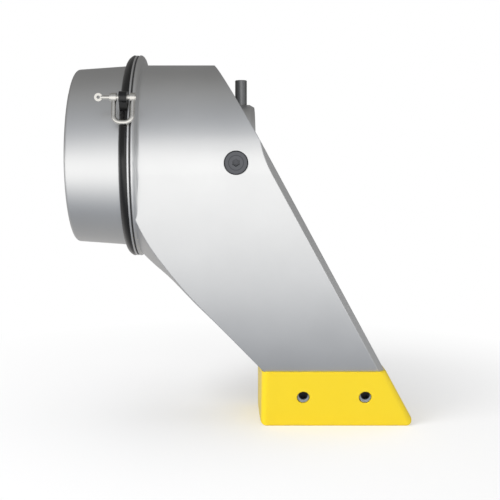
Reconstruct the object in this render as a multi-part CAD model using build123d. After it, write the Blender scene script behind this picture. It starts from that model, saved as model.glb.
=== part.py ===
from build123d import *
import math
import os

# Torque-multiplier gear head with a reaction arm.
# Millimetres. +X is the drive axis towards the output, +Z is up, the foot hangs below.
# The origin is on the drive axis at the front face of the nose.

# ---------------------------------------------------------------- driving dimensions
BODY_R = 71.0              # round collar of the arm
REAR_X = -138.2            # rear face of the gear case
CASE_REAR_R = 67.6
CASE_FRONT_R = 70.4
CASE_EDGE_ROUND = 2.4
CASE_FRONT_X = -98.4      # shoulder where the tether ring starts
JOURNAL_R = 68.0           # journal that the tether ring turns on
JOURNAL_END_X = -91.7
CASE_BORE_R = 59.5
FLANGE_R = BODY_R + 7.8    # largest radius of ring, nose flange and arm flange

NOSE_FLANGE_T = 1.3
NOSE_FLANGE_STEP = 0.2
GASKET_T = 1.1
GASKET_STEP = 0.9
NOSE_R = 40.0              # boss that carries the arm
NOSE_ROOT_R = 50.0
NOSE_ROOT_X = -80.0
NOSE_CHAMFER_X = 3.6
NOSE_CHAMFER_R = 2.0
NOSE_TAIL_X = -101.0

ARM_FLANGE_EDGE_X = 1.2    # straight rim of the arm flange
ARM_FLANGE_ROUND_X = 2.4
ARM_FLANGE_ROUND_R = 4.6
ARM_FLANGE_BLEND_X = 1.8
FRONT_X_AT_AXIS = 7.5      # oblique front plane
FRONT_SLOPE = 0.5524       # how far it runs forward per millimetre down
SIDE_TAPER_DEG = 12.0      # each side face leans in towards the foot
# the shin's line in the middle plane and in the two planes beyond the sides, as (x, z)
SHIN_CROWN = [(-96.0, -66.0), (-86.5, -77.5), (-77.0, -86.3), (-66.5, -94.8),
              (-44.3, -116.5), (-21.1, -137.5), (4.6, -162.7), (18.4, -176.6)]
SHIN_SIDE = [(-85.1, -34.4), (-73.1, -58.2), (-64.6, -72.6), (-55.6, -86.2),
             (-37.0, -107.0), (-15.4, -132.1), (8.2, -158.7), (21.2, -173.8)]
SIDE_BEVEL = 4.6
SOCKET_CLEAR_R = 50.0      # room for a socket on the output drive
SOCKET_CLEAR_X = -4.0
RELIEF_HALF_WIDTH = 6.8
RELIEF_X = -17.0

PAD_BOTTOM_Z = -205.0
PAD_TOP_Z = -162.2
PAD_REAR_X = 3.6
PAD_REAR_CROWN_R = 600.0
PAD_PROUD = 1.0
PAD_WALL = 8.0
PAD_SOLE = 9.0
PAD_CORNER_R = 4.5
PAD_REAR_EDGE_R = 5.0
PAD_FRONT_EDGE_R = 4.5
TONGUE_REAR_X = 14.0
PAD_SCREW_X = (35.9, 82.5)
PAD_SCREW_Z = -182.4
PAD_HEAD_R = 4.2
PAD_HEAD_T = 4.0
PAD_COUNTERBORE_R = 4.7
PAD_SCREW_R = 2.5
PAD_SCREW_LEN = 12.0

RING_GAP = 0.15            # side play of the tether ring
RING_RUNNING = 0.08
RING_STEP = 0.2            # the ring starts this much below the sleeve
RING_BULGE_X = 1.5
RING_BULGE_R = 2.6
RING_RIM_X = 1.6
RING_RIM_R = 0.3
PIN_CLEAR = 0.1
LUG_ANGLE_DEG = 28.4       # above the horizontal, on the -Y side
LUG_TIP_R = 4.3            # round end of the lug, about the shackle pin
LUG_ROOT_DEPTH = 4.0
LUG_THICK = 5.6
LUG_HALF_HEIGHT = 9.5
SHACKLE_PIN_R = 1.9
SHACKLE_PIN_ORBIT = FLANGE_R + 5.4    # distance of the shackle pin from the drive axis
SHACKLE_WIRE_R = 1.65
SHACKLE_LEG_SPAN = 13.2
SHACKLE_DROP = 18.2
SHACKLE_LEAN_DEG = 13.0
SHACKLE_EAR_R = 3.2
SHACKLE_EAR_T = 2 * SHACKLE_WIRE_R + 0.1
SHACKLE_MID_X = -94.5
SHACKLE_BEND = 0.8         # share of half the bow's width that its bends take
SHACKLE_PIN_TAIL = 0.8
SHACKLE_HEAD_R = 2.7
SHACKLE_HEAD_T = 1.2
SHACKLE_NECK_R = 1.4
SHACKLE_NECK_END = 7.4     # distance of the neck's end from the bow's ear
SHACKLE_EYE_R = 2.9
SHACKLE_EYE_HOLE_R = 1.2
SHACKLE_EYE_T = 1.8
SHACKLE_EYE_X = 9.2        # distance of the eye's middle from the bow's ear

GEAR_MODULE = 2.0
SUN_TEETH = 12
PLANET_TEETH = 18
PLANET_COUNT = 3
RING_TEETH = SUN_TEETH + 2 * PLANET_TEETH
PRESSURE_DEG = 20.0
ADDENDUM = 0.8
DEDENDUM = 1.15
BACKLASH = 0.12            # taken off each tooth flank, along the pitch circle
PLANET_REAR_X = -117.0
PLANET_WIDTH = 14.0
RING_GEAR_REAR_X = -125.2
RING_GEAR_FRONT_X = -101.2
PLANET_BORE_R = 8.0
PLANET_PIN_R = 6.0
BUSH_RUNNING = 0.05
END_PLAY = 0.5

M5_HEX = (4.0, 2.6)        # key size and key depth
M4_HEX = (3.0, 2.0)
COVER_R = 62.5
COVER_T = 7.8
COVER_RECESS = 8.0
COVER_BOSS_R = 30.0
COVER_BOSS_END_X = -124.0
CASE_SHELF_R = 50.0
COVER_SCREW_PCD_R = 56.0
COVER_SCREWS = 6
COVER_HEAD_R = 4.25
COVER_HEAD_T = 5.0
COVER_FLOOR = 2.6
COVER_SCREW_R = 2.5
COVER_EDGE = 0.8
COVER_GROOVES = (46.3, 32.3)
COVER_GROOVE = (0.8, 0.7)  # depth and half width
COVER_SHAFT_ROOM = 1.5
HOLE_CLEAR = 0.25
NOSE_SCREW_R = 2.0
NOSE_SCREW_HEAD_R = 3.5
NOSE_SCREW_HEAD_T = 4.0
NOSE_SCREW_DEPTH = 8.0
NOSE_SCREW_PCD_R = 63.75
NOSE_SCREWS = 8
NOSE_RECESS = 4.4          # room in the arm on each side of the nose screws' circle
SEAL_R = 24.0
SEAL_DEPTH = 5.8

INPUT_SHAFT_R = 17.5
INPUT_SQUARE = 19.05
INPUT_SQUARE_DEPTH = 15.5
OUTPUT_SHAFT_R = 25.0
OUTPUT_SQUARE = 25.4
OUTPUT_SQUARE_DEPTH = 32.0
OUTPUT_FRONT_X = -1.5
CARRIER_R = 45.0
CARRIER_DISC = (-102.5, -94.5)
CARRIER_PLATE = (-122.0, -117.5)
PILOT_R = 7.0
PILOT_BUSH_R = 10.0
PILOT_END_X = -96.5

BEARING_WIDTH = 7.0
SMALL_BEARING = (INPUT_SHAFT_R, INPUT_SHAFT_R + 6.0, BEARING_WIDTH)    # bore radius, outer radius, width
LARGE_BEARING = (OUTPUT_SHAFT_R, OUTPUT_SHAFT_R + 7.5, BEARING_WIDTH)
BEARING_RACE = 0.28        # share of the ring gap that the inner ring takes
BEARING_BALL = 0.24        # ball radius, as a share of the same gap
INPUT_BEARING_X = -131.0
REAR_BEARING_X = -93.0
FRONT_BEARING_X = -30.0
BALLS = 16
SEAT_GAP = 0.01
SEAL_LIP_GAP = 0.3

BUTTON_X = -10.3
BUTTON_R = 4.65
BUTTON_TOP_Z = 59.5
BUTTON_COLLAR = (35.4, 36.6)
BUTTON_COLLAR_R = 5.9
BUTTON_STEM_R = 2.5
BUTTON_TIP_Z = OUTPUT_SHAFT_R + 3.6
BUTTON_EDGE_ROUND = 0.6
BUTTON_STEM_CLEAR = 0.1
SPRING_R = (3.4, 4.8)      # inner and outer radius of the spring's sleeve
LOCK_RING_HALF_T = 1.2
LOCK_RING_PROUD = 1.3
LOCK_RING_GAP = (6.0, 5.0, 8.0)
BUSH_HOLE_R = 6.2
BUSH_PROUD = 5.0

SIDE_SCREW_X = -15.1
SIDE_SCREW_ANGLE_DEG = 4.9
SIDE_SCREW_HEAD_R = 8.7
SIDE_SCREW_R = 4.0
SIDE_SCREW_TIP_R = NOSE_R - 3.0
SIDE_SCREW_SUNK = 0.35
SIDE_SCREW_HEX_R = 2.5
SIDE_SCREW_HEX_DEPTH = 3.4

# ---------------------------------------------------------------- derived values
TAPER = math.radians(SIDE_TAPER_DEG)
NOSE_FLANGE_X = JOURNAL_END_X + NOSE_FLANGE_T
ARM_REAR_X = NOSE_FLANGE_X + GASKET_T
PLANET_ORBIT = GEAR_MODULE * (SUN_TEETH + PLANET_TEETH) / 2
PLANET_FRONT_X = PLANET_REAR_X + PLANET_WIDTH
PLANET_ANGLES = [90 + 360 * i / PLANET_COUNT for i in range(PLANET_COUNT)]
LOCK_GROOVE_X = (BUTTON_X - 2.5, BUTTON_X + 2.5)
LOCK_GROOVE_R = OUTPUT_SHAFT_R - 2.4
SPACER = (FRONT_BEARING_X + LARGE_BEARING[2], -6.0)
SPACER_IN_R = OUTPUT_SHAFT_R + 2.0
FAR = 400.0


# ---------------------------------------------------------------- helpers
def rod(x0, x1, radius):
    """Round bar along X."""
    return extrude(Plane.YZ.offset(x0) * Circle(radius), amount=x1 - x0)


def tube(x0, x1, outer, inner):
    """Round tube along X."""
    return rod(x0, x1, outer) - rod(x0, x1, inner)


def turned(points):
    """Solid of revolution about X from a closed outline of (x, radius) points."""
    outline = Plane.XZ * make_face(Polyline(*points, close=True))
    return revolve(outline, Axis.X)


def post(z0, z1, radius):
    """Round bar along Z at the button's place."""
    return Location((BUTTON_X, 0, z0)) * Cylinder(
        radius, z1 - z0, align=(Align.CENTER, Align.CENTER, Align.MIN)
    )


def square_hole(x0, x1, size):
    return extrude(Plane.YZ.offset(x0) * Rectangle(size, size), amount=x1 - x0)


def around(item, radius, angles):
    """Copies of a solid made on the drive axis, moved out to a pitch circle."""
    copies = []
    for angle in angles:
        a = math.radians(angle)
        copies.append(Location((0, radius * math.cos(a), radius * math.sin(a))) * item)
    return copies


def joined(items):
    total = items[0]
    for item in items[1:]:
        total = total + item
    return total


def write(node, shape):
    """One STEP file per node; a list becomes a group of separate solids."""
    if isinstance(shape, (list, tuple)):
        solids = [s for item in shape for s in item.solids()]
    else:
        solids = list(shape.solids())
    part = solids[0] if len(solids) == 1 else Compound(children=solids)
    part.label = node
    export_step(part, f"parts/{node}.step")


def screw(shank_r, shank_len, head_r, head_len, hex_size, hex_depth):
    """Socket-head screw along Z: head above z = 0, shank below."""
    body = Cylinder(head_r, head_len, align=(Align.CENTER, Align.CENTER, Align.MIN))
    shank = Cylinder(shank_r, shank_len, align=(Align.CENTER, Align.CENTER, Align.MAX))
    socket = extrude(
        Plane.XY.offset(head_len - hex_depth) * RegularPolygon(hex_size / 2, 6, major_radius=False),
        amount=hex_depth,
    )
    return body + shank - socket


# ---------------------------------------------------------------- gear outlines
def involute_angle(base_r, radius):
    if radius <= base_r:
        return 0.0
    a = math.acos(base_r / radius)
    return math.tan(a) - a


def tooth_half_angle(teeth, radius, widen):
    """Half the angle that a tooth takes up at a radius; widen is measured on the pitch circle."""
    pitch_r = GEAR_MODULE * teeth / 2
    base_r = pitch_r * math.cos(math.radians(PRESSURE_DEG))
    at_pitch = math.pi / (2 * teeth) + widen / pitch_r
    return at_pitch + involute_angle(base_r, pitch_r) - involute_angle(base_r, radius)


def toothed_outline(teeth, low_r, high_r, widen, start_deg, steps=4):
    """Closed outline of flat flanks: each tooth rises from low_r to high_r."""
    radii = [low_r + (high_r - low_r) * i / steps for i in range(steps + 1)]
    points = []
    for tooth in range(teeth):
        centre = math.radians(start_deg) + 2 * math.pi * tooth / teeth
        rising = [(r, centre - tooth_half_angle(teeth, r, widen)) for r in radii]
        falling = [(r, centre + tooth_half_angle(teeth, r, widen)) for r in reversed(radii)]
        points += [(r * math.cos(a), r * math.sin(a)) for r, a in rising + falling]
    return make_face(Polyline(*points, close=True))


def gear_blank(teeth, start_deg, x0, x1):
    pitch_r = GEAR_MODULE * teeth / 2
    outline = toothed_outline(
        teeth, pitch_r - DEDENDUM * GEAR_MODULE, pitch_r + ADDENDUM * GEAR_MODULE, -BACKLASH, start_deg
    )
    return extrude(Plane.YZ.offset(x0) * outline, amount=x1 - x0)


def ring_gear_hole(x0, x1):
    pitch_r = GEAR_MODULE * RING_TEETH / 2
    outline = toothed_outline(
        RING_TEETH,
        pitch_r - ADDENDUM * GEAR_MODULE,
        pitch_r + DEDENDUM * GEAR_MODULE,
        BACKLASH,
        180 / RING_TEETH,
    )
    return extrude(Plane.YZ.offset(x0) * outline, amount=x1 - x0)


# ---------------------------------------------------------------- gear case and rear cover
def make_gear_case():
    outside = turned([
        (REAR_X, 0),
        (REAR_X, CASE_REAR_R),
        (CASE_FRONT_X, CASE_FRONT_R),
        (CASE_FRONT_X, JOURNAL_R),
        (JOURNAL_END_X, JOURNAL_R),
        (JOURNAL_END_X, 0),
    ])
    rim = outside.edges().filter_by(GeomType.CIRCLE).group_by(Axis.X)[0]
    outside = fillet(rim, CASE_EDGE_ROUND)
    shelf_x = REAR_X + COVER_RECESS
    case = outside - rod(REAR_X, shelf_x, COVER_R)
    case = case - rod(shelf_x, RING_GEAR_REAR_X, CASE_SHELF_R)
    case = case - rod(RING_GEAR_REAR_X, JOURNAL_END_X, CASE_BORE_R)
    cover_hole = rod(shelf_x, RING_GEAR_REAR_X, COVER_SCREW_R)
    case = case - joined(around(cover_hole, COVER_SCREW_PCD_R, cover_screw_angles()))
    nose_holes = rod(JOURNAL_END_X - NOSE_SCREW_DEPTH, JOURNAL_END_X, NOSE_SCREW_R)
    return case - joined(around(nose_holes, NOSE_SCREW_PCD_R, nose_screw_angles()))


def cover_screw_angles():
    return [360 * (i + 0.5) / COVER_SCREWS for i in range(COVER_SCREWS)]


def nose_screw_angles():
    return [360 * (i + 0.5) / NOSE_SCREWS for i in range(NOSE_SCREWS)]


def make_rear_cover():
    back = REAR_X + COVER_RECESS - COVER_T
    shelf_x = REAR_X + COVER_RECESS
    cover = rod(back, shelf_x, COVER_R - 0.05)
    rim = cover.edges().filter_by(GeomType.CIRCLE).group_by(Axis.X)[0]
    cover = chamfer(rim, COVER_EDGE)
    cover = cover + rod(shelf_x, COVER_BOSS_END_X, COVER_BOSS_R)
    cover = cover - rod(back, COVER_BOSS_END_X, INPUT_SHAFT_R + COVER_SHAFT_ROOM)
    cover = cover - rod(back, back + SEAL_DEPTH, SEAL_R)
    cover = cover - rod(INPUT_BEARING_X, COVER_BOSS_END_X, SMALL_BEARING[1])
    shank = rod(back, shelf_x, COVER_SCREW_R + HOLE_CLEAR)
    head = rod(back, shelf_x - COVER_FLOOR, COVER_HEAD_R + HOLE_CLEAR)
    cover = cover - joined(around(shank + head, COVER_SCREW_PCD_R, cover_screw_angles()))
    depth, half = COVER_GROOVE
    for radius in COVER_GROOVES:
        cover = cover - tube(back, back + depth, radius + half, radius - half)
    return cover


def x_screw(head_x, shank_to_x, shank_r, head_r, head_t, hex_size, hex_depth):
    """Screw along X with its head's bearing face at head_x; the shank runs to shank_to_x."""
    length = abs(shank_to_x - head_x)
    turn = 90 if shank_to_x < head_x else -90
    upright = screw(shank_r, length, head_r, head_t, hex_size, hex_depth)
    return Location((head_x, 0, 0), (0, turn, 0)) * upright


def make_cover_screws():
    seat = REAR_X + COVER_RECESS - COVER_FLOOR
    one = x_screw(
        seat, RING_GEAR_REAR_X - 0.4, COVER_SCREW_R - 2 * SEAT_GAP, COVER_HEAD_R, COVER_HEAD_T, *M5_HEX
    )
    return around(one, COVER_SCREW_PCD_R, cover_screw_angles())


def make_nose_screws():
    one = x_screw(
        NOSE_FLANGE_X, JOURNAL_END_X - NOSE_SCREW_DEPTH + 0.5, NOSE_SCREW_R - 0.02, NOSE_SCREW_HEAD_R,
        NOSE_SCREW_HEAD_T, *M4_HEX,
    )
    return around(one, NOSE_SCREW_PCD_R, nose_screw_angles())


def make_gasket():
    return tube(NOSE_FLANGE_X, ARM_REAR_X, FLANGE_R - GASKET_STEP, NOSE_SCREW_PCD_R + NOSE_RECESS)


def make_ring_gear():
    ring = rod(RING_GEAR_REAR_X, RING_GEAR_FRONT_X, CASE_BORE_R - SEAT_GAP)
    return ring - ring_gear_hole(RING_GEAR_REAR_X, RING_GEAR_FRONT_X)


# ---------------------------------------------------------------- bearings and seals
def bearing(x0, size):
    """Outer ring, inner ring and a group of balls that sit against the inner ring."""
    bore_r, outer_r, width = size
    ball_r = (outer_r - bore_r) * BEARING_BALL
    inner_top = bore_r + (outer_r - bore_r) * BEARING_RACE
    centre_r = inner_top + ball_r
    outer_low = centre_r + ball_r + SEAL_LIP_GAP
    outer = tube(x0, x0 + width, outer_r - SEAT_GAP, outer_low)
    inner = tube(x0, x0 + width, inner_top, bore_r + SEAT_GAP)
    ball = Location((x0 + width / 2, 0, 0)) * Sphere(ball_r)
    balls = around(ball, centre_r + 2 * SEAT_GAP, [360 * i / BALLS for i in range(BALLS)])
    return outer, inner, balls


def make_input_seal():
    back = REAR_X + COVER_RECESS - COVER_T
    return tube(back + 0.4, back + SEAL_DEPTH, SEAL_R - SEAT_GAP, INPUT_SHAFT_R + SEAL_LIP_GAP)


# ---------------------------------------------------------------- input shaft and planets
def make_input_shaft():
    back = REAR_X + 0.8
    shaft = rod(back, CARRIER_PLATE[0] - END_PLAY, INPUT_SHAFT_R)
    shaft = shaft + rod(CARRIER_PLATE[0] - END_PLAY, PLANET_REAR_X - 0.3, 12.0)
    shaft = shaft + gear_blank(SUN_TEETH, 0, PLANET_REAR_X - 0.3, PLANET_FRONT_X - 0.2)
    shaft = shaft + rod(PLANET_FRONT_X - 0.2, PILOT_END_X - END_PLAY, PILOT_R)
    return shaft - square_hole(back, back + INPUT_SQUARE_DEPTH, INPUT_SQUARE)


def make_planet(angle):
    blank = gear_blank(PLANET_TEETH, angle + 180 + 180 / PLANET_TEETH, PLANET_REAR_X, PLANET_FRONT_X)
    blank = blank - rod(PLANET_REAR_X, PLANET_FRONT_X, PLANET_BORE_R)
    return around(blank, PLANET_ORBIT, [angle])[0]


def make_planet_bush(angle):
    bush = tube(PLANET_REAR_X, PLANET_FRONT_X, PLANET_BORE_R - SEAT_GAP, PLANET_PIN_R + BUSH_RUNNING)
    return around(bush, PLANET_ORBIT, [angle])[0]


def make_planet_pins():
    pin = rod(CARRIER_PLATE[0], CARRIER_DISC[1], PLANET_PIN_R)
    return around(pin, PLANET_ORBIT, PLANET_ANGLES)


def pin_holes(x0, x1):
    return joined(around(rod(x0, x1, PLANET_PIN_R), PLANET_ORBIT, PLANET_ANGLES))


def make_carrier_plate():
    plate = tube(CARRIER_PLATE[0], CARRIER_PLATE[1], CARRIER_R - 1, 14.0)
    return plate - pin_holes(*CARRIER_PLATE)


def make_output_carrier():
    disc = rod(CARRIER_DISC[0], CARRIER_DISC[1], CARRIER_R)
    carrier = disc - pin_holes(*CARRIER_DISC) - rod(CARRIER_DISC[0], PILOT_END_X, PILOT_BUSH_R)
    carrier = carrier + rod(CARRIER_DISC[1], OUTPUT_FRONT_X, OUTPUT_SHAFT_R)
    carrier = carrier - square_hole(OUTPUT_FRONT_X - OUTPUT_SQUARE_DEPTH, OUTPUT_FRONT_X, OUTPUT_SQUARE)
    carrier = carrier - tube(LOCK_GROOVE_X[0], LOCK_GROOVE_X[1], OUTPUT_SHAFT_R + 1, LOCK_GROOVE_R)
    mouth = carrier.edges().filter_by(GeomType.CIRCLE).group_by(Axis.X)[-1]
    return chamfer(mouth, 0.8)


def make_pilot_bush():
    return tube(CARRIER_DISC[0], PILOT_END_X, PILOT_BUSH_R, PILOT_R + BUSH_RUNNING)


# ---------------------------------------------------------------- nose housing
def make_nose_housing():
    seat_r = LARGE_BEARING[1]
    nose = turned([
        (NOSE_TAIL_X, 0),
        (NOSE_TAIL_X, CASE_BORE_R - SEAT_GAP),
        (JOURNAL_END_X, CASE_BORE_R - SEAT_GAP),
        (JOURNAL_END_X, FLANGE_R - NOSE_FLANGE_STEP),
        (NOSE_FLANGE_X, FLANGE_R - NOSE_FLANGE_STEP),
        (NOSE_FLANGE_X, NOSE_ROOT_R),
        (NOSE_ROOT_X, NOSE_ROOT_R),
        (NOSE_ROOT_X, NOSE_R),
        (-NOSE_CHAMFER_X, NOSE_R),
        (0, NOSE_R - NOSE_CHAMFER_R),
        (0, 0),
    ])
    nose = nose - rod(NOSE_TAIL_X, REAR_BEARING_X - 1, CARRIER_R + 1.5)
    nose = nose - rod(REAR_BEARING_X - 1, REAR_BEARING_X + LARGE_BEARING[2], seat_r)
    nose = nose - rod(REAR_BEARING_X, 0, OUTPUT_SHAFT_R + 3)
    nose = nose - rod(FRONT_BEARING_X, 0, seat_r)
    holes = rod(JOURNAL_END_X, NOSE_FLANGE_X, NOSE_SCREW_R + 0.1)
    nose = nose - joined(around(holes, NOSE_SCREW_PCD_R, nose_screw_angles()))
    nose = nose - post(0, NOSE_R + BUSH_PROUD, BUSH_HOLE_R)
    for side in (-1, 1):
        nose = nose - side_screw_shape(side)
    return nose


def make_spacer():
    ring = tube(SPACER[0], SPACER[1], LARGE_BEARING[1] - SEAT_GAP, SPACER_IN_R)
    return ring - post(0, NOSE_R, BUTTON_STEM_R + BUTTON_STEM_CLEAR)


def make_output_seal():
    return tube(SPACER[1], -1.2, LARGE_BEARING[1] - SEAT_GAP, OUTPUT_SHAFT_R + SEAL_LIP_GAP)


def make_lock_ring():
    rear, front = BUTTON_X - LOCK_RING_HALF_T, BUTTON_X + LOCK_RING_HALF_T
    ring = tube(rear, front, OUTPUT_SHAFT_R + LOCK_RING_PROUD, LOCK_GROOVE_R + SEAL_LIP_GAP)
    return ring - Location((BUTTON_X, 0, -OUTPUT_SHAFT_R)) * Box(*LOCK_RING_GAP)


# ---------------------------------------------------------------- release button
def make_button():
    knob = post(BUTTON_COLLAR[1], BUTTON_TOP_Z, BUTTON_R)
    knob = fillet(knob.edges().group_by(Axis.Z)[-1], BUTTON_EDGE_ROUND)
    return knob + post(*BUTTON_COLLAR, BUTTON_COLLAR_R) + post(BUTTON_TIP_Z, BUTTON_COLLAR[0], BUTTON_STEM_R)


def make_button_bush():
    bush = post(BUTTON_COLLAR[1] + BUTTON_STEM_CLEAR, NOSE_R + BUSH_PROUD, BUSH_HOLE_R)
    bush = bush - post(BUTTON_COLLAR[0], NOSE_R + BUSH_PROUD, BUTTON_R + BUSH_RUNNING)
    return bush & rod(FRONT_BEARING_X, 0, NOSE_R)


def make_button_spring():
    floor = LARGE_BEARING[1] + BUTTON_STEM_CLEAR
    inner_r, outer_r = SPRING_R
    return post(floor, BUTTON_COLLAR[0], outer_r) - post(floor, BUTTON_COLLAR[0], inner_r)


# ---------------------------------------------------------------- reaction arm
def half_width(z):
    """Distance of a side face from the middle plane at a height below the collar."""
    return (BODY_R + z * math.sin(TAPER)) / math.cos(TAPER)


def leg_section(grow=0.0):
    """Cross-section across the drive axis: a circle whose tangents run down to the foot."""
    radius = BODY_R + grow
    tangent = (radius * math.cos(TAPER), -radius * math.sin(TAPER))
    low_z = PAD_BOTTOM_Z - 20
    low = ((radius + low_z * math.sin(TAPER)) / math.cos(TAPER), low_z)
    arc = ThreePointArc((tangent[0], tangent[1]), (0, radius), (-tangent[0], tangent[1]))
    sides = Polyline((-tangent[0], tangent[1]), (-low[0], low[1]), low, tangent)
    return make_face(Curve() + [arc, sides])


def front_x(z):
    return FRONT_X_AT_AXIS - FRONT_SLOPE * z


def front_cutter():
    """Everything in front of the oblique plane."""
    high, low = 150.0, -300.0
    outline = Polyline(
        (front_x(high), high), (FAR, high), (FAR, low), (front_x(low), low), close=True
    )
    return extrude(Plane.XZ * make_face(outline), amount=FAR / 2, both=True)


def leg_profile(shin):
    """Side outline of the leg behind one line of the shin."""
    rest = Polyline(
        shin[-1],
        (shin[-1][0], PAD_BOTTOM_Z),
        (front_x(PAD_BOTTOM_Z), PAD_BOTTOM_Z),
        (front_x(0), 0),
        (shin[0][0], 0),
        shin[0],
    )
    return make_face(Curve() + [Spline(*shin), rest])


def leg_blank():
    """Leg lofted across the drive axis from one side line of the shin over its crown to the other."""
    side = BODY_R + 5
    lines = [(-side, SHIN_SIDE), (0, SHIN_CROWN), (side, SHIN_SIDE)]
    return loft([Plane.XZ.offset(y) * leg_profile(shin) for y, shin in lines])


def plane_cut(point, normal):
    """Thick slab on the outer side of a plane."""
    return extrude(Plane(origin=point, z_dir=normal) * Rectangle(2 * FAR, 2 * FAR), amount=FAR)


def unit(*values):
    size = math.sqrt(sum(v * v for v in values))
    return tuple(v / size for v in values)


def side_normal(side):
    return (0, side * math.cos(TAPER), -math.sin(TAPER))


FRONT_NORMAL = unit(1, 0, FRONT_SLOPE)


def bevel_cutters():
    """Bevels where each side face meets the oblique front; they run out on the round collar."""
    cutters = []
    for side in (-1, 1):
        n = side_normal(side)
        bisector = unit(*[a + b for a, b in zip(n, FRONT_NORMAL)])
        z = -100.0
        edge = Vector(front_x(z), side * half_width(z), z)
        inset = SIDE_BEVEL * math.sqrt(0.5)
        cutters.append(plane_cut(edge - Vector(*bisector) * inset, bisector))
    return cutters


def arm_flange():
    x0 = ARM_REAR_X
    x1 = x0 + ARM_FLANGE_EDGE_X
    x2 = x1 + ARM_FLANGE_ROUND_X
    x3 = x2 + ARM_FLANGE_BLEND_X
    r1 = FLANGE_R
    r2 = FLANGE_R - ARM_FLANGE_ROUND_R
    lines = [
        Polyline((x0, NOSE_ROOT_R), (x0, r1 - 0.5), (x0 + 0.5, r1), (x1, r1)),
        ThreePointArc((x1, r1), (x1 + 0.74 * ARM_FLANGE_ROUND_X, r1 - 0.33 * ARM_FLANGE_ROUND_R), (x2, r2)),
        ThreePointArc((x2, r2), (x2 + 0.3 * ARM_FLANGE_BLEND_X, r2 - 0.72 * (r2 - BODY_R)), (x3, BODY_R)),
        Polyline((x3, BODY_R), (x3, NOSE_ROOT_R), (x0, NOSE_ROOT_R)),
    ]
    return revolve(Plane.XZ * make_face(Curve() + lines), Axis.X)


def side_screw_place(side):
    """Plane at the tip of a side screw, with its normal along the screw and out of the arm."""
    angle = math.radians(SIDE_SCREW_ANGLE_DEG)
    direction = (0, side * math.cos(angle), -math.sin(angle))
    return Plane(origin=Vector(SIDE_SCREW_X, 0, 0) + Vector(*direction) * SIDE_SCREW_TIP_R, z_dir=direction)


def side_screw_shape(side):
    """Shank and cone of a countersunk screw; also the shape of its hole."""
    place = side_screw_place(side)
    top = BODY_R - SIDE_SCREW_TIP_R - SIDE_SCREW_SUNK
    cone = place.offset(top - (SIDE_SCREW_HEAD_R - SIDE_SCREW_R))
    shank = extrude(place * Circle(SIDE_SCREW_R), amount=top - (SIDE_SCREW_HEAD_R - SIDE_SCREW_R))
    return shank + loft([cone * Circle(SIDE_SCREW_R), place.offset(top) * Circle(SIDE_SCREW_HEAD_R)])


def side_screw_hole(side):
    top = BODY_R - SIDE_SCREW_TIP_R - SIDE_SCREW_SUNK
    lip = extrude(side_screw_place(side).offset(top) * Circle(SIDE_SCREW_HEAD_R), amount=3)
    return side_screw_shape(side) + lip


def make_side_screws():
    screws = []
    for side in (-1, 1):
        top = BODY_R - SIDE_SCREW_TIP_R - SIDE_SCREW_SUNK
        floor = side_screw_place(side).offset(top - SIDE_SCREW_HEX_DEPTH)
        key_hole = extrude(floor * RegularPolygon(SIDE_SCREW_HEX_R, 6, major_radius=False), amount=4)
        screws.append(side_screw_shape(side) - key_hole)
    return screws


def tongue(grow=0.0):
    """The foot's inner block that the pad is fitted over."""
    inset = PAD_WALL - grow
    rear = TONGUE_REAR_X - grow
    low = PAD_BOTTOM_Z + PAD_SOLE - grow
    top = PAD_TOP_Z + 2
    outline = Polyline(
        (rear, top), (front_x(top) - inset, top), (front_x(low) - inset, low), (rear, low), close=True
    )
    block = extrude(Plane.XZ * make_face(outline), amount=FAR / 2, both=True)
    return block & extrude(Plane.YZ.offset(-10) * leg_section(-inset), amount=200)


def make_reaction_arm():
    leg = leg_blank() & extrude(Plane.YZ.offset(ARM_REAR_X + ARM_FLANGE_EDGE_X) * leg_section(), amount=260)
    leg = leg - below_joint_line()
    collar = rod(ARM_REAR_X, 70, BODY_R)
    arm = collar + arm_flange() + leg
    arm = arm - front_cutter()
    for cutter in bevel_cutters():
        arm = arm - cutter
    arm = arm + tongue()
    arm = arm - rod(ARM_REAR_X, NOSE_ROOT_X, NOSE_ROOT_R + SEAT_GAP)
    arm = arm - rod(NOSE_ROOT_X, SOCKET_CLEAR_X, NOSE_R + SEAT_GAP)
    arm = arm - rod(SOCKET_CLEAR_X, 200, SOCKET_CLEAR_R)
    recess_x = ARM_REAR_X + NOSE_SCREW_HEAD_T
    recess = tube(ARM_REAR_X, recess_x, NOSE_SCREW_PCD_R + NOSE_RECESS, NOSE_SCREW_PCD_R - NOSE_RECESS)
    arm = arm - recess
    relief = Location(((RELIEF_X + 10) / 2, 0, 55)) * Box(10 - RELIEF_X, 2 * RELIEF_HALF_WIDTH, 36)
    arm = arm - relief
    for side in (-1, 1):
        arm = arm - side_screw_hole(side)
        for x in PAD_SCREW_X:
            arm = arm - pad_screw_hole(side, x)
    return arm


# ---------------------------------------------------------------- foot pad
def pad_screw_place(side, x):
    """Plane at a pad screw's head seat, with its normal pointing out of the pad."""
    surface = Vector(x, side * (half_width(PAD_SCREW_Z) + PAD_PROUD), PAD_SCREW_Z)
    normal = Vector(*side_normal(side))
    seat = surface - normal * (PAD_HEAD_T + 0.6)
    return Plane(origin=seat, x_dir=(1, 0, 0), z_dir=(normal.X, normal.Y, normal.Z))


def pad_screw_hole(side, x):
    place = pad_screw_place(side, x)
    return extrude(place.offset(-PAD_SCREW_LEN - 1) * Circle(PAD_SCREW_R), amount=PAD_SCREW_LEN + 1)


def below_joint_line():
    """Everything under the level line where the pad meets the leg."""
    return Location((0, 0, PAD_TOP_Z)) * Box(FAR, FAR, FAR, align=(Align.CENTER, Align.CENTER, Align.MAX))


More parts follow.
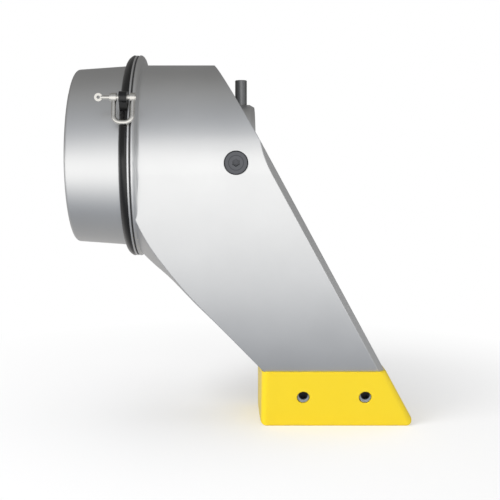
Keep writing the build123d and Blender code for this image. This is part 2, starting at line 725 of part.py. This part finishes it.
def make_foot_pad():
    grow = PAD_PROUD
    high = PAD_TOP_Z + 20
    outline = make_face(Polyline(
        (PAD_REAR_X, high),
        (front_x(high) + grow, high),
        (front_x(PAD_BOTTOM_Z) + grow, PAD_BOTTOM_Z),
        (PAD_REAR_X, PAD_BOTTOM_Z),
        close=True,
    ))
    pad = extrude(Plane.XZ * outline, amount=FAR / 2, both=True)
    pad = pad & extrude(Plane.YZ.offset(-10) * leg_section(grow), amount=200)
    middle_x = (PAD_REAR_X + front_x(PAD_BOTTOM_Z)) / 2
    corners = [e for e in pad.edges() if e.bounding_box().size.Z > 20]
    pad = fillet([e for e in corners if e.center().X > middle_x], PAD_FRONT_EDGE_R)
    pad = pad & Location((PAD_REAR_X + PAD_REAR_CROWN_R, 0, PAD_BOTTOM_Z)) * Cylinder(PAD_REAR_CROWN_R, 200)
    corners = [e for e in pad.edges() if e.bounding_box().size.Z > 20 and e.center().X < middle_x]
    pad = fillet(corners, PAD_REAR_EDGE_R)
    rounded = fillet(outline.vertices().group_by(Axis.Y)[0], PAD_CORNER_R)
    pad = pad & extrude(Plane.XZ * rounded, amount=FAR / 2, both=True)
    pad = (pad & below_joint_line()) - tongue()
    for side in (-1, 1):
        for x in PAD_SCREW_X:
            place = pad_screw_place(side, x)
            pad = pad - extrude(place * Circle(PAD_COUNTERBORE_R), amount=20)
            pad = pad - extrude(place.offset(-20) * Circle(PAD_SCREW_R), amount=20)
    return pad


def make_pad_screws():
    one = screw(PAD_SCREW_R, PAD_SCREW_LEN, PAD_HEAD_R, PAD_HEAD_T, *M5_HEX)
    return [pad_screw_place(side, x).location * one for side in (-1, 1) for x in PAD_SCREW_X]


# ---------------------------------------------------------------- tether ring and shackle
def lug_frame():
    """Plane across X at the shackle pin: local x is radial (outwards), local y is tangential."""
    a = math.radians(LUG_ANGLE_DEG)
    outward = (0, -math.cos(a), math.sin(a))
    return Plane(origin=(0, 0, 0), x_dir=outward, z_dir=(1, 0, 0))


def make_tether_ring():
    x0 = CASE_FRONT_X + RING_GAP
    x1 = JOURNAL_END_X - RING_GAP
    inner = JOURNAL_R + RING_RUNNING
    low = (x0, CASE_FRONT_R - RING_STEP)
    high = (x1 - RING_RIM_X, FLANGE_R)
    outline = [
        Polyline((x0, inner), low),
        ThreePointArc(low, (x0 + RING_BULGE_X, FLANGE_R - RING_BULGE_R), high),
        Polyline(high, (x1, FLANGE_R - RING_RIM_R), (x1, inner), (x0, inner)),
    ]
    ring = revolve(Plane.XZ * make_face(Curve() + outline), Axis.X)
    place = lug_frame().offset(x1 - LUG_THICK)
    base = FLANGE_R - LUG_ROOT_DEPTH
    lug = place * make_face(Polyline(
        (base, -LUG_HALF_HEIGHT),
        (SHACKLE_PIN_ORBIT, -LUG_TIP_R),
        (SHACKLE_PIN_ORBIT, LUG_TIP_R),
        (base, LUG_HALF_HEIGHT),
        close=True,
    ))
    tip = place * Pos(SHACKLE_PIN_ORBIT, 0) * Circle(LUG_TIP_R)
    hole_place = lug_frame().offset(x1 - LUG_THICK - 1) * Pos(SHACKLE_PIN_ORBIT, 0)
    hole = hole_place * Circle(SHACKLE_PIN_R + PIN_CLEAR)
    ring = ring + extrude(lug, amount=LUG_THICK) + extrude(tip, amount=LUG_THICK)
    return ring - extrude(hole, amount=LUG_THICK + 2)


def shackle_centre():
    a = math.radians(LUG_ANGLE_DEG)
    return Vector(0, -SHACKLE_PIN_ORBIT * math.cos(a), SHACKLE_PIN_ORBIT * math.sin(a))


def shackle_plane():
    """Plane of the bow: local x along the pin, local y up towards the pin from the bow's foot."""
    lean = math.radians(SHACKLE_LEAN_DEG)
    centre = shackle_centre() + Vector(SHACKLE_MID_X, 0, 0)
    up = Vector(0, math.sin(lean), math.cos(lean))
    normal = Vector(1, 0, 0).cross(up)
    return Plane(origin=centre, x_dir=(1, 0, 0), z_dir=(normal.X, normal.Y, normal.Z))


def make_shackle_bow():
    half = SHACKLE_LEG_SPAN / 2
    start = -PIN_CLEAR * 10
    path = shackle_plane() * FilletPolyline(
        (-half, start),
        (-half, -SHACKLE_DROP),
        (half, -SHACKLE_DROP),
        (half, start),
        radius=half * SHACKLE_BEND,
    )
    profile = Plane(origin=path @ 0, z_dir=path % 0) * Circle(SHACKLE_WIRE_R)
    bow = sweep(profile, path)
    for side in (-1, 1):
        x = SHACKLE_MID_X + side * half
        ear = Plane(origin=shackle_centre() + Vector(x - SHACKLE_EAR_T / 2, 0, 0), z_dir=(1, 0, 0))
        bow = bow + extrude(ear * Circle(SHACKLE_EAR_R), amount=SHACKLE_EAR_T)
    bore = Plane(origin=shackle_centre() + Vector(SHACKLE_MID_X, 0, 0), z_dir=(1, 0, 0))
    return bow - extrude(bore * Circle(SHACKLE_PIN_R), amount=SHACKLE_LEG_SPAN, both=True)


def make_shackle_pin():
    half = SHACKLE_LEG_SPAN / 2
    x0 = SHACKLE_MID_X - half - SHACKLE_EAR_T / 2
    x1 = SHACKLE_MID_X + half + SHACKLE_EAR_T / 2 + SHACKLE_PIN_TAIL
    base = Plane(origin=shackle_centre() + Vector(x0, 0, 0), z_dir=(1, 0, 0))
    pin = extrude(base * Circle(SHACKLE_PIN_R), amount=x1 - x0)
    pin = pin + extrude(base.offset(-SHACKLE_HEAD_T) * Circle(SHACKLE_HEAD_R), amount=SHACKLE_HEAD_T)
    neck = base.offset(-SHACKLE_NECK_END) * Circle(SHACKLE_NECK_R)
    pin = pin + extrude(neck, amount=SHACKLE_NECK_END - SHACKLE_HEAD_T)
    middle = shackle_centre() + Vector(x0 - SHACKLE_EYE_X, SHACKLE_EYE_T / 2, 0)
    eye_place = Plane(origin=middle, x_dir=(1, 0, 0), z_dir=(0, -1, 0))
    eye = eye_place * Circle(SHACKLE_EYE_R) - eye_place * Circle(SHACKLE_EYE_HOLE_R)
    return pin + extrude(eye, amount=SHACKLE_EYE_T)


# ---------------------------------------------------------------- write the nodes
def main():
    os.makedirs("parts", exist_ok=True)
    write("gear_case", make_gear_case())
    write("rear_cover", make_rear_cover())
    write("cover_screws", make_cover_screws())
    write("ring_gear", make_ring_gear())
    write("nose_housing", make_nose_housing())
    write("nose_screws", make_nose_screws())
    write("flange_gasket", make_gasket())
    write("reaction_arm", make_reaction_arm())
    write("side_screws", make_side_screws())
    write("foot_pad", make_foot_pad())
    write("pad_screws", make_pad_screws())
    write("tether_ring", make_tether_ring())
    write("shackle_bow", make_shackle_bow())
    write("shackle_pin", make_shackle_pin())
    write("input_shaft", make_input_shaft())
    write("input_seal", make_input_seal())
    for number, angle in enumerate(PLANET_ANGLES, start=1):
        write(f"planet_gear_{number}", make_planet(angle))
        write(f"planet_bush_{number}", make_planet_bush(angle))
    write("planet_pins", make_planet_pins())
    write("carrier_plate", make_carrier_plate())
    write("output_carrier", make_output_carrier())
    write("pilot_bush", make_pilot_bush())
    bearings = {
        "input_bearing": (INPUT_BEARING_X, SMALL_BEARING),
        "rear_bearing": (REAR_BEARING_X, LARGE_BEARING),
        "front_bearing": (FRONT_BEARING_X, LARGE_BEARING),
    }
    for name, (x, size) in bearings.items():
        outer, inner, balls = bearing(x, size)
        write(f"{name}_outer", outer)
        write(f"{name}_inner", inner)
        write(f"{name}_balls", balls)
    write("front_spacer", make_spacer())
    write("output_seal", make_output_seal())
    write("spindle_lock_ring", make_lock_ring())
    write("release_button", make_button())
    write("button_bush", make_button_bush())
    write("button_spring", make_button_spring())


main()
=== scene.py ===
import math

import bpy
import numpy as np
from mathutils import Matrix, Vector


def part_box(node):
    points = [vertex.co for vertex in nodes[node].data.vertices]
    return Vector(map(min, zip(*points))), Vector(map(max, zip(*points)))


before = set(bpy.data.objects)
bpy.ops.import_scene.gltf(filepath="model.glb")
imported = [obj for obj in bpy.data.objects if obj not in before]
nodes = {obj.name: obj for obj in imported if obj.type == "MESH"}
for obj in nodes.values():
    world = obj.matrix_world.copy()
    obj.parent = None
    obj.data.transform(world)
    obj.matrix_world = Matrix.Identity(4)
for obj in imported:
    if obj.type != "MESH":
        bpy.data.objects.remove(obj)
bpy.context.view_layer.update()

# ---------------------------------------------------------------- studio
# A plain pale floor under the foot, a white room round it, and soft lights.
# The camera looks straight along +Y from a little left of the foot.
scene = bpy.context.scene
scene.view_settings.view_transform = "Standard"

floor_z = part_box("foot_pad")[0].z
bpy.ops.mesh.primitive_plane_add(size=24, location=(0, 0, floor_z - 0.0001))
floor = bpy.context.object
floor.name = "floor"
camera_data = bpy.data.cameras.new("camera")
camera_data.lens = 58.8
camera_data.sensor_width = 36
camera_data.shift_x = 0.048
camera_data.shift_y = -0.17
camera = bpy.data.objects.new("camera", camera_data)
camera.location = (-0.0222, -0.6487, -0.0076)
camera.rotation_euler = (math.radians(90), 0, 0)
scene.collection.objects.link(camera)
scene.camera = camera


def soft_light(name, place, aim, width, height, watts):
    """A rectangular lamp at place, turned to face aim. Polished metal does not show it."""
    data = bpy.data.lights.new(name, "AREA")
    data.shape = "RECTANGLE"
    data.size, data.size_y = width, height
    data.energy = watts
    lamp = bpy.data.objects.new(name, data)
    lamp.location = place
    turn = np.subtract(aim, place)
    tilt = math.atan2(math.hypot(turn[0], turn[1]), -turn[2])
    lamp.rotation_euler = (tilt, 0, math.atan2(turn[1], turn[0]) - math.pi / 2)
    lamp.visible_glossy = False
    scene.collection.objects.link(lamp)


soft_light("front_softbox", (-0.55, -1.9, 0.75), (0, 0, -0.08), 1.4, 1.0, 12)
soft_light("left_softbox", (-1.25, -0.75, 1.15), (0.05, 0.05, -0.2), 0.6, 0.6, 22)
soft_light("ceiling", (0.0, 0.1, 1.9), (0, 0, -0.2), 1.8, 1.8, 12)

room = bpy.data.worlds.new("room")
room.use_nodes = True
scene.world = room
room_tree = room.node_tree
room_glow = room_tree.nodes["Background"]


# ---------------------------------------------------------------- shader arithmetic
# The finishes below are formulas over the surface.
# One wrapper lets them be written as sums and products.
class Wire:
    """A shader socket that takes part in arithmetic, so a formula on it adds its own nodes."""

    def __init__(self, tree, socket):
        self.tree, self.socket = tree, socket

    def node(self, kind, settings, values, output=0):
        """Any other node: its settings first, then its sockets as numbers, colours or wires."""
        made = self.tree.nodes.new("ShaderNode" + kind)
        for name, value in settings.items():
            if name == "stops":
                ramp = made.color_ramp
                while len(ramp.elements) < len(value):
                    ramp.elements.new(0.5)
                for stop, (place, colour) in zip(ramp.elements, value):
                    stop.position, stop.color = place, colour
            else:
                setattr(made, name, value)
        for name, value in values.items():
            if isinstance(value, Wire):
                self.tree.links.new(value.socket, made.inputs[name])
            else:
                made.inputs[name].default_value = value
        return Wire(self.tree, made.outputs[output])

    def maths(self, operation, first, second=0.0):
        return self.node("Math", {"operation": operation}, {0: first, 1: second})

    def axis(self, number):
        """One coordinate: 0 is x, 1 is y and 2 is z."""
        return self.node("SeparateXYZ", {}, {"Vector": self}, output=number)

    def sine(self):
        return self.maths("SINE", self)

    def __add__(self, other):
        return self.maths("ADD", self, other)

    def __mul__(self, other):
        return self.maths("MULTIPLY", self, other)

    def __sub__(self, other):
        return self.maths("SUBTRACT", self, other)

    def __rsub__(self, other):
        return self.maths("SUBTRACT", other, self)

    def __pow__(self, other):
        return self.maths("POWER", self, other)

    __radd__ = __add__
    __rmul__ = __mul__

    def stretched(self, x, y, z):
        """The same coordinates, scaled along each axis."""
        return self.node("Mapping", {}, {"Vector": self, "Scale": (x, y, z)})

    def noise(self, scale, detail=2.0):
        return self.node("TexNoise", {}, {"Vector": self, "Scale": scale, "Detail": detail})

    def between(self, low, high):
        """0 below low, 1 above high, and straight between them."""
        values = {"Value": self, "From Min": low, "From Max": high}
        return self.node("MapRange", {"clamp": True}, values)

    def colours(self, first, second):
        """The first colour where this wire is 0 and the second where it is 1."""
        return self.node("Mix", {"data_type": "RGBA"}, {0: self, 6: first, 7: second}, output=2)

    def relief(self, depth, strength=1.0, edge=0.0):
        """Normals of a surface that this wire lifts by up to depth metres, with its edges rounded by edge."""
        values = {"Height": self, "Distance": depth, "Strength": strength}
        if edge:
            values["Normal"] = self.node("Bevel", {"samples": 6}, {"Radius": edge})
        return self.node("Bump", {}, values)


# The room is brightest straight ahead of the object and darker above and behind it.
direction = Wire(room_tree, room_tree.nodes.new("ShaderNodeTexCoord").outputs["Generated"])
ahead = direction.axis(1) * -0.5 + 0.5
glow = ahead.node("ValToRGB", {"stops": [
    (0.05, (0.215, 0.212, 0.208, 1)), (0.36, (0.265, 0.262, 0.255, 1)), (0.61, (0.39, 0.39, 0.385, 1)),
    (0.81, (0.44, 0.45, 0.465, 1)), (0.94, (0.58, 0.595, 0.62, 1)), (0.998, (1.45, 1.44, 1.42, 1)),
]}, {"Fac": ahead})
seen = Wire(room_tree, room_tree.nodes.new("ShaderNodeLightPath").outputs["Is Camera Ray"])
backdrop = seen.colours(glow, (1, 1, 1, 1))
room_tree.links.new(backdrop.socket, room_glow.inputs["Color"])

# The floor is matt white and fades into the room. In reflections it glows instead: polished metal sees a
# painted reflection, brightest well in front, with painted shade where it nears the object.
floor_paint = bpy.data.materials.new("floor_paint")
floor_paint.use_nodes = True
floor_tree = floor_paint.node_tree
floor_tree.nodes.remove(floor_tree.nodes["Principled BSDF"])
spot = Wire(floor_tree, floor_tree.nodes.new("ShaderNodeTexCoord").outputs["Object"])
forward = spot.axis(1) * -1 + 0.2
# Painted reflection: the glow the metal sees, dimmed near the object as painted shade.
painted_floor_reflection = forward.node("ValToRGB", {"stops": [
    (0.0, (0.55, 0.54, 0.53, 1)), (0.18, (0.40, 0.40, 0.40, 1)), (0.29, (0.33, 0.345, 0.37, 1)),
    (0.36, (0.56, 0.575, 0.60, 1)), (0.44, (0.92, 0.925, 0.93, 1)), (0.60, (1.45, 1.44, 1.42, 1)),
]}, {"Fac": forward})
distance = spot.node("VectorMath", {"operation": "LENGTH"}, {0: spot}, output=1)
far = distance.between(-0.06, 0.40)
matt = spot.node("BsdfDiffuse", {}, {"Color": (0.88, 0.88, 0.885, 1)})
white = spot.node("Emission", {}, {"Color": (1, 1, 1, 1), "Strength": 1.0})
shown = far.node("MixShader", {}, {0: far, 1: matt, 2: white})
mirrored = Wire(floor_tree, floor_tree.nodes.new("ShaderNodeLightPath").outputs["Is Glossy Ray"])
painted_reflection_glow = spot.node("Emission", {}, {"Color": painted_floor_reflection})
surface = mirrored.node("MixShader", {}, {0: mirrored, 1: shown, 2: painted_reflection_glow})
floor_tree.links.new(surface.socket, floor_tree.nodes["Material Output"].inputs["Surface"])
floor.data.materials.append(floor_paint)


def finish(name, fixed, varying):
    """A material: fixed numbers sit on the shader's sockets; varying gives what changes over the surface."""
    material = bpy.data.materials.new(name)
    material.use_nodes = True
    tree = material.node_tree
    shader = tree.nodes["Principled BSDF"]
    for socket, value in fixed.items():
        shader.inputs[socket].default_value = value
    place = Wire(tree, tree.nodes.new("ShaderNodeTexCoord").outputs["Object"])
    for socket, wire in varying(place).items():
        tree.links.new(wire.socket, shader.inputs[socket])
    return material


def dress(material, *names):
    """Puts one finish on CAD nodes."""
    for name in names:
        for slot in nodes[name].material_slots:
            slot.material = material


# ---------------------------------------------------------------- gear train
# Ground and oiled case-hardened steel gears on bronze bushes, between two discs of the carrier.
# They sit inside the case and are seen only through the two square sockets.
def ground_steel(place):
    lines = place.stretched(2600, 90, 90).noise(1.0, 3)
    patches = place.noise(55, 3)
    tone = patches.between(0.3, 0.7)
    return {
        "Base Color": tone.colours((0.40, 0.41, 0.42, 1), (0.52, 0.53, 0.545, 1)),
        "Roughness": lines * 0.16 + 0.22,
        "Normal": lines.relief(0.00002, 0.5),
    }


def turned_bronze(place):
    lines = place.stretched(2200, 60, 60).noise(1.0, 2)
    return {
        "Base Color": place.noise(70, 3).colours((0.52, 0.34, 0.16, 1), (0.70, 0.49, 0.25, 1)),
        "Roughness": lines * 0.2 + 0.25,
        "Normal": lines.relief(0.00002, 0.4),
    }


gear_steel = finish("gear_steel", {"Metallic": 1.0}, ground_steel)
bronze = finish("bronze", {"Metallic": 1.0}, turned_bronze)
dress(gear_steel, "input_shaft", "carrier_plate", "output_carrier")
dress(gear_steel, "planet_pins", "ring_gear", "front_spacer")
dress(bronze, "pilot_bush", "button_bush")
for number in (1, 2, 3):
    dress(gear_steel, f"planet_gear_{number}")
    dress(bronze, f"planet_bush_{number}")


# ---------------------------------------------------------------- bearings and seals
# Thin-section ball bearings carry the two shafts.
# Black nitrile lip seals close both ends of the case.
def bearing_steel(place):
    haze = place.noise(120, 2)
    return {
        "Base Color": haze.colours((0.62, 0.63, 0.65, 1), (0.74, 0.75, 0.77, 1)),
        "Roughness": haze * 0.12 + 0.1,
    }


def nitrile(place):
    grain = place.noise(1400, 3)
    return {
        "Base Color": place.noise(90, 2).colours((0.015, 0.015, 0.016, 1), (0.035, 0.035, 0.037, 1)),
        "Roughness": grain * 0.2 + 0.45,
        "Normal": grain.relief(0.00004, 0.4),
    }


polished_steel = finish("polished_steel", {"Metallic": 1.0}, bearing_steel)
black_rubber = finish("black_rubber", {}, nitrile)
for end in ("input", "rear", "front"):
    dress(polished_steel, f"{end}_bearing_outer", f"{end}_bearing_inner", f"{end}_bearing_balls")
dress(black_rubber, "input_seal", "output_seal", "flange_gasket")


# ---------------------------------------------------------------- gear case and rear cover
# Nickel-plated steel sleeve and its cover, both finished on a lathe.
# The tool has left fine rings round the drive axis.
def turned_nickel(place):
    rings = place.stretched(3600, 14, 14).noise(1.0, 3)
    cloud = place.stretched(9, 6, 6).noise(1.0, 3)
    return {
        "Base Color": cloud.between(0.3, 0.7).colours((0.69, 0.695, 0.70, 1), (0.76, 0.765, 0.77, 1)),
        "Roughness": rings * 0.12 + cloud * 0.06 + 0.30,
        "Normal": rings.relief(0.000012, 0.5, edge=0.0006),
    }


def faced_steel(place):
    across = place.axis(1)
    up = place.axis(2)
    radius = (across * across + up * up) ** 0.5
    rings = (radius * 5200).sine()
    cloud = place.noise(40, 3)
    return {
        "Base Color": cloud.colours((0.50, 0.505, 0.51, 1), (0.58, 0.585, 0.59, 1)),
        "Roughness": rings * 0.04 + cloud * 0.1 + 0.27,
        "Normal": rings.relief(0.000006, 0.5),
    }


case_nickel = finish("case_nickel", {"Metallic": 1.0}, turned_nickel)
cover_steel = finish("cover_steel", {"Metallic": 1.0}, faced_steel)
dress(case_nickel, "gear_case")
dress(cover_steel, "rear_cover")


# ---------------------------------------------------------------- black screws
# Alloy steel socket screws with a black oxide skin.
# The big countersunk ones in the arm's sides show the lathe's rings, with a painted dark ring for the shade
# in a groove round the key hole and painted shade at the head's edge.
def black_oxide(place):
    wear = place.noise(420, 4).between(0.62, 0.80)
    grain = place.noise(2500, 2)
    return {
        "Base Color": wear.colours((0.030, 0.031, 0.034, 1), (0.075, 0.077, 0.083, 1)),
        "Roughness": grain * 0.14 + 0.32,
        "Normal": grain.relief(0.00002, 0.3),
    }


black_screw = finish("black_screw", {"Metallic": 0.6}, black_oxide)
dress(black_screw, "cover_screws", "nose_screws")

low_corner, high_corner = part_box("pad_screws")
pad_head_r = 0.0042
pad_middle_x = (low_corner.x + high_corner.x) / 2
pad_half_pitch = (high_corner.x - low_corner.x) / 2 - pad_head_r
pad_side_lean = math.radians(12)
pad_screw_z = high_corner.z - pad_head_r * math.cos(pad_side_lean)


def painted_rim_highlight(place):
    """Black heads with a painted highlight, a light steel ring round the rim: r is the distance from the
    nearer of the two screws on a side.
    """
    x = place.axis(0) - pad_middle_x
    z = place.axis(2) - pad_screw_z
    along = x.maths("ABSOLUTE", x) - pad_half_pitch
    radius = (along * along + z * z) ** 0.5
    painted_rim = radius.between(pad_head_r - 0.0009, pad_head_r - 0.0004)
    grain = place.noise(2500, 2)
    return {
        "Base Color": painted_rim.colours((0.014, 0.014, 0.016, 1), (0.42, 0.46, 0.50, 1)),
        "Roughness": grain * 0.14 + 0.30,
        "Normal": grain.relief(0.00002, 0.3),
    }


dress(finish("painted_rim_highlight", {"Metallic": 0.6}, painted_rim_highlight), "pad_screws")

low_corner, high_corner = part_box("side_screws")
side_screw_x = (low_corner.x + high_corner.x) / 2
side_screw_tilt = math.radians(4.9)
head_edge_r = 0.0087
groove_r = 0.0053


def turned_black(place):
    """Rings round the screw's own line, which leans with the arm's side: r is measured across that line."""
    along_x = place.axis(0) - side_screw_x
    y = place.axis(1)
    z = place.axis(2)
    side = y.maths("ABSOLUTE", y)
    across = z * math.cos(side_screw_tilt) + side * math.sin(side_screw_tilt)
    radius = (along_x * along_x + across * across) ** 0.5
    # Painted shade: a dark ring round the key hole and a darker band at the head's edge.
    groove_shade = 1 - (radius - groove_r).maths("ABSOLUTE", radius - groove_r).between(0.0, 0.0004)
    painted_rim = radius.between(head_edge_r - 0.0011, head_edge_r - 0.0005)
    rings = (radius * 9000).sine()
    painted_shade = groove_shade.maths("MAXIMUM", groove_shade * 0.7, painted_rim)
    return {
        "Base Color": painted_shade.colours((0.105, 0.108, 0.118, 1), (0.022, 0.023, 0.026, 1)),
        "Roughness": rings * 0.03 + 0.42,
        "Normal": rings.relief(0.000004, 0.5),
    }


dress(finish("turned_black", {"Metallic": 0.85}, turned_black), "side_screws")


# ---------------------------------------------------------------- nose housing and reaction arm
# The nose carries the arm, which is machined from one block of alloy.
# Both are bead-blasted to an even satin silver.
def blasted_alloy(place):
    beads = place.noise(2300, 3)
    cloud = place.noise(16, 4)
    tone = cloud.between(0.3, 0.7)
    return {
        "Base Color": tone.colours((0.69, 0.695, 0.70, 1), (0.75, 0.755, 0.76, 1)),
        "Roughness": beads * 0.10 + cloud * 0.08 + 0.30,
        "Normal": beads.relief(0.00002, 0.35, edge=0.0009),
    }


arm_silver = finish("arm_silver", {"Metallic": 1.0}, blasted_alloy)
dress(arm_silver, "nose_housing", "reaction_arm")


# ---------------------------------------------------------------- foot pad
# Cast polyurethane boot in safety yellow, glossy, fixed with two screws on each side.
# Its sole is scuffed where it bears on a neighbouring bolt or flange.
def cast_yellow(place):
    height = place.axis(2)
    low = 1 - height.between(floor_z + 0.0002, floor_z + 0.0035)
    scuff = (low * place.noise(150, 4)).between(0.40, 0.75)
    peel = place.noise(420, 2)
    tone = place.noise(24, 2).colours((0.87, 0.63, 0.004, 1), (0.90, 0.665, 0.006, 1))
    return {
        "Base Color": (scuff * 0.35).colours(tone, (0.50, 0.38, 0.10, 1)),
        "Roughness": scuff * 0.25 + peel * 0.08 + 0.30,
        "Normal": peel.relief(0.00005, 0.35, edge=0.0014),
    }


yellow_pad = finish("yellow_pad", {"Coat Weight": 0.25, "Coat Roughness": 0.18}, cast_yellow)
dress(yellow_pad, "foot_pad")


# ---------------------------------------------------------------- tether ring and shackle
# Black ring that swivels between the sleeve and the nose flange, with a lug for a small
# stainless D-shackle, to which the tool's safety line is clipped.
def satin_black(place):
    wear = place.noise(300, 4).between(0.62, 0.8)
    grain = place.noise(1800, 2)
    return {
        "Base Color": wear.colours((0.002, 0.002, 0.0025, 1), (0.010, 0.0105, 0.0115, 1)),
        "Roughness": grain * 0.08 + 0.16,
        "Normal": grain.relief(0.00002, 0.3),
    }


def drawn_stainless(place):
    cloud = place.noise(240, 3)
    return {
        "Base Color": cloud.colours((0.60, 0.585, 0.55, 1), (0.74, 0.725, 0.69, 1)),
        "Roughness": cloud * 0.18 + 0.18,
        "Normal": cloud.relief(0.00003, 0.25),
    }


black_ring = finish("black_ring", {}, satin_black)
stainless = finish("stainless", {"Metallic": 1.0}, drawn_stainless)
dress(black_ring, "tether_ring")
dress(stainless, "shackle_bow", "shackle_pin")


# ---------------------------------------------------------------- release button
# Turned steel stub in the nose, over a coil spring and the spindle's lock ring.
def button_steel(place):
    rings = place.stretched(40, 40, 3200).noise(1.0, 2)
    return {
        "Base Color": place.noise(90, 2).colours((0.17, 0.172, 0.175, 1), (0.22, 0.222, 0.225, 1)),
        "Roughness": rings * 0.14 + 0.28,
        "Normal": rings.relief(0.00002, 0.4),
    }


def spring_steel(place):
    return {"Base Color": place.noise(200, 2).colours((0.26, 0.27, 0.28, 1), (0.38, 0.39, 0.41, 1))}


stub_steel = finish("button_steel", {"Metallic": 1.0}, button_steel)
coil_steel = finish("spring_steel", {"Metallic": 1.0, "Roughness": 0.33}, spring_steel)
dress(stub_steel, "release_button")
dress(coil_steel, "button_spring", "spindle_lock_ring")
